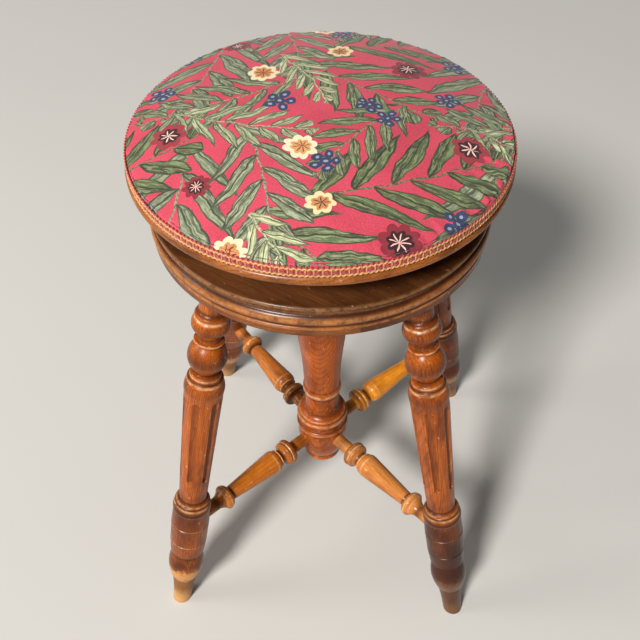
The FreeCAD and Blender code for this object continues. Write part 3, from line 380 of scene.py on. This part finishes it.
# A sprig: leaves stand in pairs along a bent stem. Leaves are stripes in sheared coordinates,
# as wide as sin(pi * reach ^ 0.8) of their share of the stem, and the stem's ends have the
# shortest leaves. Each leaf has a dark rim and vein, and strokes of noise drawn out along it.
sprig, along, across, (length, spread, step, bend) = motif_group(
    "leafy_sprig", ("Length", "Spread", "Step", "Bend"), ("Mask", "Half", "Line", "Stroke"))
share = along / length + 0.5
across = across - (share - 0.5) ** 2.0 * bend
inside = share.math("GREATER_THAN", 0.0) * share.math("LESS_THAN", 1.0)
most = (share * math.pi).math("SINE").math("MAXIMUM", 0.02) ** 0.6 * spread
out = across.math("ABSOLUTE")
reach = out / most
shear = (along - out * 1.1 + across.math("SIGN") * step * 0.25) / step
stripe = shear.math("FRACT")
off = (stripe - 0.5).math("ABSOLUTE") * 2.0
width = (reach.clamped() ** 0.8 * math.pi).math("SINE") * 0.74
leaf = off.math("LESS_THAN", width) * reach.math("LESS_THAN", 1.0)
stem = out.math("LESS_THAN", 0.9)
rim = (width - off).math("LESS_THAN", 0.13)
vein = (stripe - 0.5).math("ABSOLUTE").math("LESS_THAN", 0.035)
fine = add(sprig, "CombineXYZ", {0: shear * 13.0, 1: out * 0.07})
stroke = add(sprig, "TexNoise", {"Vector": fine, "Scale": 1.0, "Detail": 3.0, "Roughness": 0.7})
add(sprig, "NodeGroupOutput", {
    "Mask": leaf.math("MAXIMUM", stem) * inside, "Half": stripe.math("GREATER_THAN", 0.5),
    "Line": rim.math("MAXIMUM", vein) * leaf, "Stroke": stroke})

# A daisy: its edge is radius * (0.74 + 0.26 * |cos(petals * angle / 2)|), round a darker heart
# with a pale star.
daisy, along, across, (radius, petals) = motif_group(
    "daisy", ("Radius", "Petals"), ("Mask", "Heart", "Star"))
distance = (along ** 2.0 + across ** 2.0).math("SQRT")
angle = across.math("ARCTAN2", along)
wave = (angle * petals * 0.5).math("COSINE").math("ABSOLUTE")
edge = radius * (wave * 0.26 + 0.74)
add(daisy, "NodeGroupOutput", {
    "Mask": distance.math("LESS_THAN", edge), "Heart": distance.math("LESS_THAN", edge * 0.62),
    "Star": distance.math("LESS_THAN", radius * (wave ** 5.0) * 0.44 + 0.7)})

# A bunch of berries: five rounds set evenly round a sixth, by folding the angle into a fifth.
berries, along, across, (radius,) = motif_group("berry_bunch", ("Radius",), ("Mask", "Shine"))
distance = (along ** 2.0 + across ** 2.0).math("SQRT")
angle = across.math("ARCTAN2", along).math("WRAP", math.pi / 5, -math.pi / 5)
beside = distance * angle.math("SINE")
ahead = distance * angle.math("COSINE") - radius * 1.9
round_off = (beside ** 2.0 + ahead ** 2.0).math("SQRT").math("MINIMUM", distance)
add(berries, "NodeGroupOutput", {"Mask": round_off.math("LESS_THAN", radius),
                                 "Shine": round_off.math("LESS_THAN", radius * 0.35)})

# The cotton is matt with a faint bloom of loose fibres, and its colour is broken by the yarn.
# Slubs are 1.3 mm long. The threads are 0.4 mm apart and drawn 0.9 mm apart, to show at all.
cotton, tree = new_material("printed_cotton")
cloth = add(tree, "Attribute", output="Vector", attribute_name="cloth")
tremble = add(tree, "TexNoise", {"Vector": cloth, "Scale": 0.045, "Detail": 2.0},
              output="Color")
tremble = add(tree, "VectorMath", {0: tremble, 1: (0.5, 0.5, 0.5)}, operation="SUBTRACT")
tremble = add(tree, "VectorMath", {0: tremble, 1: (9, 9, 0)}, operation="MULTIPLY")
drawn = add(tree, "VectorMath", {0: tremble, 1: cloth})
slubs, broad, streak = [
    add(tree, "TexNoise", {"Vector": cloth, "Scale": per_mm, "Detail": detail,
                           "Roughness": harshness})
    for per_mm, detail, harshness in ((0.75, 3.0, 0.75), (0.018, 3.0, 0.55), (0.16, 5.0, 0.75))]
colour = painted(tree, srgb("#c03a54"), [(broad.between(0.35, 0.7), "#ae2f47"),
                                         (slubs.between(0.35, 0.75) * 0.45, "#d65a6c")])
for centre, turn, sizes, (dark, middle, light) in (
        ((150, 84), 98, (196, 62, 36, -48), ("#4b5747", "#6c7b64", "#9daa8b")),
        ((30, 44), 36, (172, 52, 31, 36), ("#2f3b2a", "#55694a", "#91a177")),
        ((168, 12), 158, (150, 42, 26, -30), ("#37442f", "#66775a", "#a3ac8c")),
        ((90, 150), -26, (186, 58, 33, 44), ("#263322", "#455838", "#7f9063")),
        ((226, 128), 76, (160, 48, 29, -38), ("#3c4a38", "#6b7c62", "#b0b69c")),
        ((34, 196), 124, (128, 36, 22, 26), ("#2d3a27", "#566a47", "#9ba77f")),
        ((196, 206), 12, (134, 34, 21, 26), ("#4c5c42", "#85966f", "#c6cda9")),
        ((246, 56), 60, (104, 27, 18, -18), ("#65744f", "#a7b286", "#dcdfba"))):
    given = (drawn, (*centre, 0), math.radians(turn), *sizes)
    mask, half, line, stroke = add(tree, "Group", dict(enumerate(given)),
                                   output=(0, 1, 2, 3), node_tree=sprig)
    pale = (stroke * 0.75 + streak * 0.25).between(0.46, 0.58)
    green = painted(tree, srgb(dark), [(half * 0.8, middle), (pale * 0.85, light),
                                       (0.14, "#77735f"), (line * 0.75, "#20261c")])
    colour = painted(tree, colour, [(mask, green)])
for centre, turn, sizes, (petal, heart_tone, star_tone) in (
        ((76, 82), 12, (18, 8), ("#7c2230", "#2c1019", "#eeb7ad")),
        ((204, 62), 40, (15, 8), ("#dccdaa", "#b97f4c", "#6c1c2a")),
        ((132, 196), 0, (17, 7), ("#8d2f39", "#35131c", "#f0c4b8")),
        ((250, 176), 25, (15, 8), ("#e0d4b4", "#c9955c", "#7d2731")),
        ((10, 112), 50, (13, 7), ("#dccb9f", "#b97f4c", "#4a1a28")),
        ((168, 130), 5, (13, 9), ("#7a2530", "#2c1019", "#eeb7ad"))):
    given = (drawn, (*centre, 0), math.radians(turn), *sizes)
    mask, heart, star = add(tree, "Group", dict(enumerate(given)), output=(0, 1, 2),
                            node_tree=daisy)
    flower = painted(tree, srgb(petal), [(heart, heart_tone), (star, star_tone)])
    colour = painted(tree, colour, [(mask, flower)])
for centre, radius in (((122, 108), 5.0), ((60, 224), 4.4), ((226, 12), 5.2), ((42, 12), 4.2),
                       ((10, 160), 4.6), ((112, 36), 4.6)):
    mask, shine = add(tree, "Group", {"Cloth": drawn, "Centre": (*centre, 0), "Radius": radius},
                      output=(0, 1), node_tree=berries)
    berry = painted(tree, srgb("#2b3657"), [(shine, "#8592b0")])
    colour = painted(tree, colour, [(mask, berry)])
u, v = add(tree, "SeparateXYZ", {0: cloth}, output=(0, 1))
weave = ((u * 7.0).math("SINE") + (v * 7.0).math("SINE")) * 0.25 + 0.5
colour = painted(tree, colour, [(slubs.between(0.35, 0.7) * 0.5, "#f4e4d0")], "SOFT_LIGHT")
colour = painted(tree, colour, [(weave * 0.12, "#2a1512")], "MULTIPLY")
normal = add(tree, "Bump", {"Height": weave * 0.7 + slubs * 0.6, "Strength": 0.4,
                            "Distance": 0.0004})
shader = add(tree, "BsdfPrincipled", {"Base Color": colour, "Roughness": 0.86,
                                      "Sheen Weight": 0.18, "Sheen Roughness": 0.4,
                                      "Normal": normal})
add(tree, "OutputMaterial", {"Surface": shader})


# Cushion: the stuffed pad under the cotton, crowned in the middle and tacked down round its
# edge. It starts a little low, is remeshed and blown up as cloth that is held along its edge,
# and then gets the small puckers of fabric pulled over the edge.
seat_top, pad_radius, pad_bottom = 0.5880, 0.1738, 0.5640
roll_width, roll_bottom, roll_top = 0.012, 0.5655, 0.5690
start_low = 0.0016
under_steps = 29
held_below, free_above = 0.5650, 0.5665
most_move = 0.0022
cloth_frames = 20


def mesh_object(name, points, faces):
    """A new smooth mesh object at the origin, from rows of points and a list of faces."""
    mesh = bpy.data.meshes.new(name)
    mesh.from_pydata(np.asarray(points).tolist(), [], faces)
    mesh.shade_smooth()
    made = bpy.data.objects.new(name, mesh)
    bpy.context.scene.collection.objects.link(made)
    return made


def grid_quads(index, after):
    """One quad for each step along a row and on to the next row of a grid of point numbers."""
    return np.stack([index[:, :-1], after[:, :-1], after[:, 1:], index[:, 1:]],
                    axis=-1).reshape(-1, 4)


def vertex_places(mesh):
    """The places of a mesh's vertices, one row each."""
    places = np.empty(len(mesh.vertices) * 3, dtype=np.float32)
    mesh.vertices.foreach_get("co", places)
    return places.reshape(-1, 3).astype(float)


def cushion_section(inset):
    """Radii and heights from under the pad round its edge to the middle of the top: a flat
    underside, a quarter of an ellipse for the edge, and an arc of the circle through the edge's
    end and the crown, whose radius is (reach^2 + rise^2) / (2 * rise)."""
    edge = pad_radius - inset
    turn = np.linspace(0, math.pi / 2, 7)
    roll_r = edge - roll_width * (1 - np.cos(turn))
    roll_z = roll_bottom + (roll_top - inset * 0.6 - roll_bottom) * np.sin(turn)
    reach, height = roll_r[-1], roll_z[-1]
    rise = seat_top - inset - height
    bend = (reach ** 2 + rise ** 2) / (2 * rise)
    top_r = np.linspace(reach, 0.0, 40)[1:-1]
    top_z = np.sqrt(bend ** 2 - top_r ** 2) + seat_top - inset - bend
    under_r = np.linspace(0.0, edge - 0.003, under_steps + 1)[1:]
    radii = np.concatenate([under_r, [edge - 0.0012], roll_r, top_r])
    heights = np.concatenate([np.full(under_steps, pad_bottom), [pad_bottom + 0.0006],
                              roll_z, top_z])
    return radii, heights


radii, heights = cushion_section(start_low)
count = 192
angle = np.linspace(0, 2 * math.pi, count, endpoint=False)
rings = np.stack([np.cos(angle)[:, None] * radii, np.sin(angle)[:, None] * radii,
                  np.repeat(heights[None, :], count, axis=0)], axis=-1)
# Lumps of the stuffing are crossed sine waves, at most 1.2 mm high and 60 to 160 mm long. They
# are whole from 577 mm above the floor, and absent at the edge of the board, below 567 mm.
lump_x, lump_y = rings[..., 0] / 0.06, rings[..., 1] / 0.06
lumps = (0.0007 * np.sin(3.1 * lump_x + 1.3) * np.cos(2.3 * lump_y)
         + 0.0005 * np.sin(5.2 * lump_x - 4.1 * lump_y))
rings[..., 2] += lumps * np.clip((rings[..., 2] - 0.567) / 0.01, 0, 1)
points = np.vstack([rings.reshape(-1, 3), [(0, 0, pad_bottom), (0, 0, seat_top - start_low)]])
index = np.arange(count * len(radii)).reshape(count, len(radii))
after = np.roll(index, -1, axis=0)
bottom, apex = np.full(count, index.size), np.full(count, index.size + 1)
faces = (grid_quads(index, after).tolist()
         + np.stack([bottom, after[:, 0], index[:, 0]], axis=-1).tolist()
         + np.stack([apex, index[:, -1], after[:, -1]], axis=-1).tolist())
cushion = mesh_object("seat_cushion", points, faces)
bpy.context.view_layer.objects.active = cushion
cushion.select_set(True)
cushion.data.remesh_voxel_size = 0.0045
bpy.ops.object.voxel_remesh()
before = vertex_places(cushion.data)
held = cushion.vertex_groups.new(name="held")
hold = np.clip((free_above - before[:, 2]) / (free_above - held_below), 0, 1)
for weight in np.unique(hold[hold > 0]):
    held.add(np.flatnonzero(hold == weight).tolist(), float(weight), "REPLACE")
cloth_modifier = cushion.modifiers.new("cloth", "CLOTH")
settings = cloth_modifier.settings
settings.quality = 6
settings.mass = 0.25
settings.tension_stiffness = 12
settings.compression_stiffness = 12
settings.shear_stiffness = 4
settings.bending_stiffness = 0.8
settings.use_pressure = True
settings.uniform_pressure_force = 4.0
settings.vertex_group_mass = "held"
settings.effector_weights.gravity = 0.0
scene = bpy.context.scene
for step in range(1, cloth_frames + 1):
    scene.frame_set(step)
graph = bpy.context.evaluated_depsgraph_get()
blown = vertex_places(cushion.evaluated_get(graph).data)
cushion.modifiers.remove(cloth_modifier)
scene.frame_set(1)
# The cover is tight over its stuffing, so no point moves by more than 2.2 mm.
move = blown - before
far = np.linalg.norm(move, axis=1)
move *= np.minimum(1.0, most_move / np.maximum(far, 1e-9))[:, None]
cushion.data.vertices.foreach_set("co", (before + move).ravel())
cushion.data.update()
subdivision = cushion.modifiers.new("finer", "SUBSURF")
subdivision.levels = subdivision.render_levels = 1
bpy.ops.object.modifier_apply(modifier="finer")
# Puckers are two sine waves round the edge, about 12 and 7 mm long. They fade inwards over
# 18 mm, and at the right, where the cover was pulled hardest, they are deeper and fade over 38.
co = vertex_places(cushion.data)
distance = np.hypot(co[:, 0], co[:, 1])
bearing = np.arctan2(co[:, 1], co[:, 0])
uneven = 0.5 + 0.5 * np.sin(3 * bearing + 0.8) * np.sin(7 * bearing + 2.0)
pulled = np.exp(-((bearing + 0.3) / 0.45) ** 2)
near_edge = np.clip((distance - 0.148 + 0.024 * pulled) / (0.018 + 0.020 * pulled), 0, 1)
near_edge *= (co[:, 2] > 0.5648) * (1 - 0.6 * np.clip((distance - 0.168) / 0.004, 0, 1))
folds = np.sin(88 * bearing + 2.2 * np.sin(5 * bearing)) + 0.6 * np.sin(151 * bearing + 1.1)
co[:, 2] += near_edge ** 1.5 * (0.00016 + 0.00032 * uneven + 0.0016 * pulled) * folds
cushion.data.vertices.foreach_set("co", co.ravel())
cushion.data.shade_smooth()
# The print's place on the flat cloth lies as far from the middle as the way over the crown is
# long, and in the same direction.
arc_r = np.append(0.0, radii[:under_steps - 1:-1])
arc_z = np.append(heights[-1], heights[:under_steps - 1:-1])
arc_s = np.append(0.0, np.cumsum(np.hypot(np.diff(arc_r), np.diff(arc_z))))
flat = np.interp(distance, arc_r, arc_s) + np.clip(roll_bottom - co[:, 2], 0, 1)
flat_xy = co[:, :2] / np.maximum(distance, 1e-9)[:, None] * flat[:, None] * 1000
cloth_place = cushion.data.attributes.new("cloth", "FLOAT_VECTOR", "POINT")
cloth_place.data.foreach_set("vector", np.column_stack([flat_xy, np.zeros(len(co))]).ravel())
cushion.data.materials.append(cotton)
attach(cushion, "seat")
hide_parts("seat_cover", "seat_stuffing")


# Cover band: the strip of the cotton cover that is turned down over the side of the board. It
# is tacked there, and the braid is glued over it.
def round_band(section, count):
    """Points and quads of a closed section of (radius, height) turned round the z axis."""
    section = np.asarray(section)
    angle = np.linspace(0, 2 * math.pi, count, endpoint=False)
    points = np.stack([
        np.cos(angle)[:, None] * section[None, :, 0],
        np.sin(angle)[:, None] * section[None, :, 0],
        np.repeat(section[None, :, 1], count, axis=0),
    ], axis=-1)
    index = np.arange(count * len(section)).reshape(count, len(section))
    after = np.roll(index, -1, axis=0)
    quads = np.stack([index, after, np.roll(after, -1, axis=1),
                      np.roll(index, -1, axis=1)], axis=-1)
    return points.reshape(-1, 3), quads.reshape(-1, 4)


board_side = 0.172
points, quads = round_band([(0.1702, 0.5528), (0.1716, 0.5528), (0.1717, 0.5600),
                            (0.1716, 0.5650), (0.1703, 0.5650)], 240)
band = mesh_object("seat_cover_band", points, quads.tolist())
band_xy = points[:, :2] * 1000 * (1 + (roll_bottom - points[:, 2])[:, None] / board_side)
cloth_place = band.data.attributes.new("cloth", "FLOAT_VECTOR", "POINT")
cloth_place.data.foreach_set("vector", np.column_stack([band_xy, np.zeros(len(points))]).ravel())
band.data.materials.append(cotton)
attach(band, "seat")


# Gimp braid: two wavy pale-gold silk cords with a row of red knots between them and red picots
# above, on a woven red ribbon. It is glued round the board, over the cover's tacks.
def closed_tube(path, radius, sides):
    """Points and quads of a tube: a ring of radius round each point of a closed path about the
    z axis, square to the path's own direction there."""
    outward = np.column_stack([path[:, 0], path[:, 1], np.zeros(len(path))])
    outward /= np.linalg.norm(outward, axis=1)[:, None]
    ahead = np.roll(path, -1, axis=0) - np.roll(path, 1, axis=0)
    ahead /= np.linalg.norm(ahead, axis=1)[:, None]
    side = np.cross(ahead, outward)
    side /= np.linalg.norm(side, axis=1)[:, None]
    turn = np.linspace(0, 2 * math.pi, sides, endpoint=False)
    ring = (np.cos(turn)[None, :, None] * outward[:, None, :]
            + np.sin(turn)[None, :, None] * side[:, None, :])
    points = path[:, None, :] + ring * radius
    index = np.arange(len(path) * sides).reshape(len(path), sides)
    after = np.roll(index, -1, axis=0)
    quads = np.stack([index, np.roll(index, -1, axis=1),
                      np.roll(after, -1, axis=1), after], axis=-1)
    return points.reshape(-1, 3), quads.reshape(-1, 4)


def thread(name, low, high, per_metre, roughness):
    """Twisted silk: noise as fine as its plies, some 0.7 mm, moves it between its shaded and its
    lit colour, and a broad noise soils it. It shines softly along the twist."""
    material, tree = new_material(name)
    place = add(tree, "TexCoord", output="Object")
    plies = add(tree, "TexNoise", {"Vector": place, "Scale": per_metre, "Detail": 3.0,
                                   "Roughness": 0.55})
    soil = add(tree, "TexNoise", {"Vector": place, "Scale": 30.0, "Detail": 3.0,
                                  "Roughness": 0.55})
    # The plies' noise paints the cord's shade and light into its colour: low is its painted
    # shade, high its painted lit tone.
    colour = painted(tree, srgb(low), [(plies.between(0.35, 0.65), high),
                                       (soil.between(0.5, 0.8) * 0.3, "#7a4526")])
    normal = add(tree, "Bump", {"Height": plies, "Strength": 0.5, "Distance": 0.0003})
    shader = add(tree, "BsdfPrincipled", {"Base Color": colour, "Roughness": roughness,
                                          "Sheen Weight": 0.25, "Normal": normal})
    add(tree, "OutputMaterial", {"Surface": shader})
    return material


gold_thread, red_thread = 0, 1
braid_points, braid_faces, braid_kinds = [], [], []


def weave_in(points, face_sets, kind):
    """Adds points and faces of one thread to the braid's mesh."""
    base = sum(len(earlier) for earlier in braid_points)
    braid_points.append(points)
    for faces in face_sets:
        braid_faces.extend((faces + base).tolist())
        braid_kinds.extend([kind] * len(faces))


def bead_row(count, reach, height, sizes, kind, phase=0.0):
    """A row of small egg-shaped knots at even angles: coarse spheres of four rings and two
    poles, scaled along, out from and up the band."""
    levels, sides = 4, 8
    lats = np.linspace(-math.pi / 2, math.pi / 2, levels + 2)[1:-1]
    lons = np.linspace(0, 2 * math.pi, sides, endpoint=False)
    sphere = np.stack([np.outer(np.cos(lats), np.cos(lons)), np.outer(np.cos(lats), np.sin(lons)),
                       np.outer(np.sin(lats), np.ones(sides))], axis=-1).reshape(-1, 3)
    sphere = np.vstack([sphere, [(0, 0, -1), (0, 0, 1)]]) * sizes
    turn = 2 * math.pi * (np.arange(count) + phase) / count
    still = np.zeros(count)
    out = np.column_stack([np.cos(turn), np.sin(turn), still])[:, None, :]
    along = np.column_stack([-np.sin(turn), np.cos(turn), still])[:, None, :]
    points = (out * reach + np.array([0, 0, height]) + sphere[:, :1] * along
              + sphere[:, 1:2] * out + sphere[:, 2:] * np.array([0, 0, 1]))
    index = np.arange(levels * sides).reshape(levels, sides)
    after = np.roll(index, -1, axis=1)
    quads = np.stack([index[:-1], after[:-1], after[1:], index[1:]], axis=-1).reshape(-1, 4)
    below = np.column_stack([np.full(sides, index.size), after[0], index[0]])
    above = np.column_stack([np.full(sides, index.size + 1), index[-1], after[-1]])
    first = np.arange(count)[:, None, None] * len(sphere)
    weave_in(points.reshape(-1, 3),
             [(part + first).reshape(-1, part.shape[1]) for part in (quads, below, above)], kind)


# Each cord's path rises and falls, and goes out and in, 256 times round the seat.
waves, wave_points = 256, 8
cord_reach, cord_radius, cord_sides = 0.17355, 0.00082, 6
sway_up, sway_out = 0.00055, 0.00018
angle = np.linspace(0, 2 * math.pi, waves * wave_points, endpoint=False)
for height, phase in ((0.5543, 0.0), (0.5611, math.pi)):
    sway = height + sway_up * np.sin(waves * angle + phase)
    reach = cord_reach + sway_out * np.cos(waves * angle + phase)
    path = np.column_stack([reach * np.cos(angle), reach * np.sin(angle), sway])
    points, quads = closed_tube(path, cord_radius, cord_sides)
    weave_in(points, [quads], gold_thread)
points, quads = round_band([(0.1725, 0.5528), (0.1731, 0.5530), (0.1732, 0.5578),
                            (0.1731, 0.5626), (0.1725, 0.5628)], 480)
weave_in(points, [quads], red_thread)
bead_row(160, 0.17330, 0.5577, (0.0019, 0.0009, 0.0021), red_thread)
bead_row(160, 0.17325, 0.5577, (0.0007, 0.0008, 0.0030), gold_thread, 0.5)
bead_row(256, 0.17310, 0.5630, (0.0011, 0.0009, 0.0012), red_thread)
braid = mesh_object("gimp_braid_threads", np.concatenate(braid_points), braid_faces)
# Each thread's two colours are its painted shade and its painted lit tone.
braid.data.materials.append(thread("pale_gold_silk_cord", "#a35c28", "#dea868", 1400.0, 0.45))
braid.data.materials.append(thread("red_silk_thread", "#6e1114", "#b5373a", 1600.0, 0.55))
braid.data.polygons.foreach_set("material_index", braid_kinds)
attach(braid, "seat")
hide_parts("gimp_braid")


# Floor and light: a plain pale matt floor, a large soft key from the front left, a weaker lamp
# from the left, and a dim sky that is brighter on the key's side and pale to the camera.
floor = mesh_object("floor", [(-6, -6, 0), (6, -6, 0), (6, 6, 0), (-6, 6, 0)], [(0, 1, 2, 3)])
pale, tree = new_material("pale_floor")
cloud = add(tree, "TexNoise", {"Vector": add(tree, "TexCoord", output="Object"), "Scale": 1.5,
                               "Detail": 2.0, "Roughness": 0.55})
shader = add(tree, "BsdfPrincipled", {
    "Base Color": painted(tree, srgb("#bab9b7"), [(cloud, "#c0bfbc")]), "Roughness": 0.75,
    "Specular IOR Level": 0.2})
add(tree, "OutputMaterial", {"Surface": shader})
floor.data.materials.append(pale)

for name, place, size, power, colour in (
        ("key", (-2.9, -6.0, 6.4), 2.0, 1220, "#fffbf5"),
        ("side", (-3.15, -0.4, 2.3), 1.4, 42, "#fffaf2")):
    data = bpy.data.lights.new(name, "AREA")
    data.shape = "DISK"
    data.size = size
    data.energy = power
    data.color = srgb(colour)[:3]
    lamp = bpy.data.objects.new(name, data)
    lamp.location = place
    towards_stool = Vector((0, 0, 0.3)) - Vector(place)
    lamp.rotation_euler = towards_stool.to_track_quat("-Z", "Y").to_euler()
    bpy.context.scene.collection.objects.link(lamp)

world = bpy.data.worlds.new("soft_sky")
world.use_nodes = True
sky = world.node_tree
sky.nodes.clear()
facing = add(sky, "VectorMath", {0: add(sky, "TexCoord", output="Generated"),
                                 1: (-0.62, -0.55, 0.56)}, output="Value",
             operation="DOT_PRODUCT")
ambient = facing.between(-0.9, 0.9) * 0.24 + 0.05
camera_ray = add(sky, "LightPath", output="Is Camera Ray")
strength = add(sky, "Mix", {0: camera_ray, 2: ambient, 3: 0.85})
background = add(sky, "Background", {"Color": srgb("#f3f2ee"), "Strength": strength})
add(sky, "OutputWorld", {"Surface": background})
bpy.context.scene.world = world
bpy.context.scene.view_settings.view_transform = "Standard"


# Camera: the photograph's angle, distance and slight roll. It looks from just under a metre
# away at a point 1.7 mm left of the stool's axis.
camera_distance = 0.98385
azimuth, elevation, roll = math.radians(5.32), math.radians(47.21), math.radians(-0.56)
aim = Matrix.Rotation(azimuth, 3, "Z") @ Vector((-0.0017, 0, 0.3175))
back = Vector((math.sin(azimuth) * math.cos(elevation),
               -math.cos(azimuth) * math.cos(elevation), math.sin(elevation)))
level = Vector((math.cos(azimuth), math.sin(azimuth), 0))
upright = back.cross(level)
right = math.cos(roll) * level + math.sin(roll) * upright
up = math.cos(roll) * upright - math.sin(roll) * level
camera_data = bpy.data.cameras.new("camera")
camera_data.lens = 50.625
camera_data.sensor_width = 36
camera = bpy.data.objects.new("camera", camera_data)
camera.matrix_world = Matrix.Translation(aim + back * camera_distance) @ Matrix(
    (right, up, back)).transposed().to_4x4()
bpy.context.scene.collection.objects.link(camera)
bpy.context.scene.camera = camera
